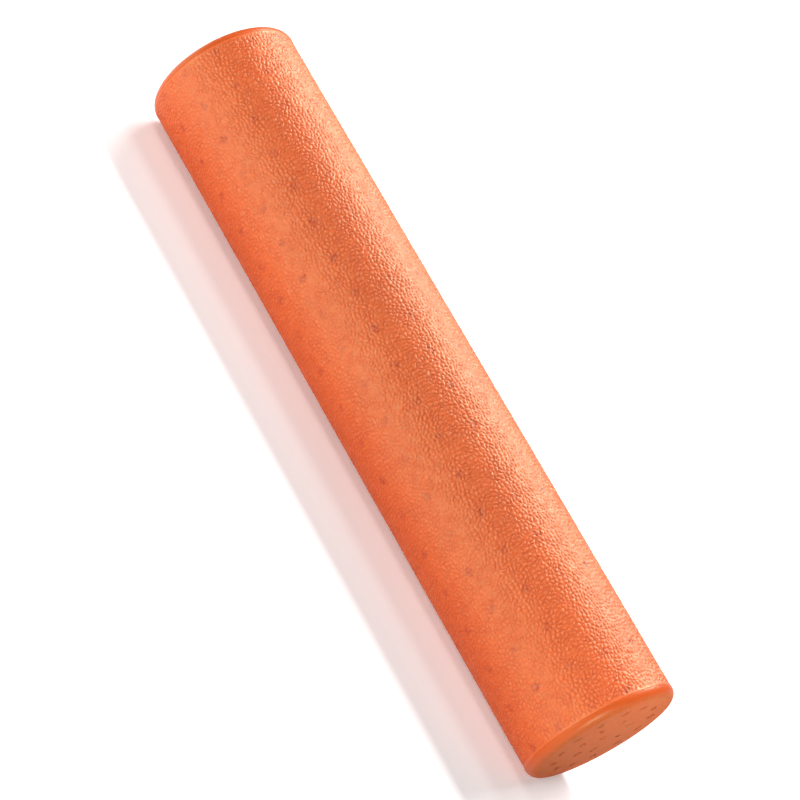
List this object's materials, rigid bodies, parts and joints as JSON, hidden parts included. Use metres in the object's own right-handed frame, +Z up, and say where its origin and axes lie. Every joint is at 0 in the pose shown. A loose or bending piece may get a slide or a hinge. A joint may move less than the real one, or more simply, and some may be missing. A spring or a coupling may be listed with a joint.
{
  "type": "foam roller",
  "caption": "Solid round bar of moulded bead foam with an orange pebble-grained skin, flat ends and rounded rims, for rolling out muscles and for balance exercise.",
  "frame": {"origin": "the middle of the line along which the lying roller touches the surface it is on", "axes": "+X along the roller, +Z up out of the surface, +Y level across it"},
  "size_m": [0.75, 0.15, 0.15],
  "materials": {
    "core_foam": "matt fused foam beads",
    "grained_skin": "satin skin with a pebble grain",
    "end_skin": "smooth satin skin with faint bead marks"
  },
  "bodies": {
    "root": {"foam_core": "core_foam", "side_skin": "grained_skin", "end_skin_left": "end_skin", "end_skin_right": "end_skin"}
  },
  "joints": []
}
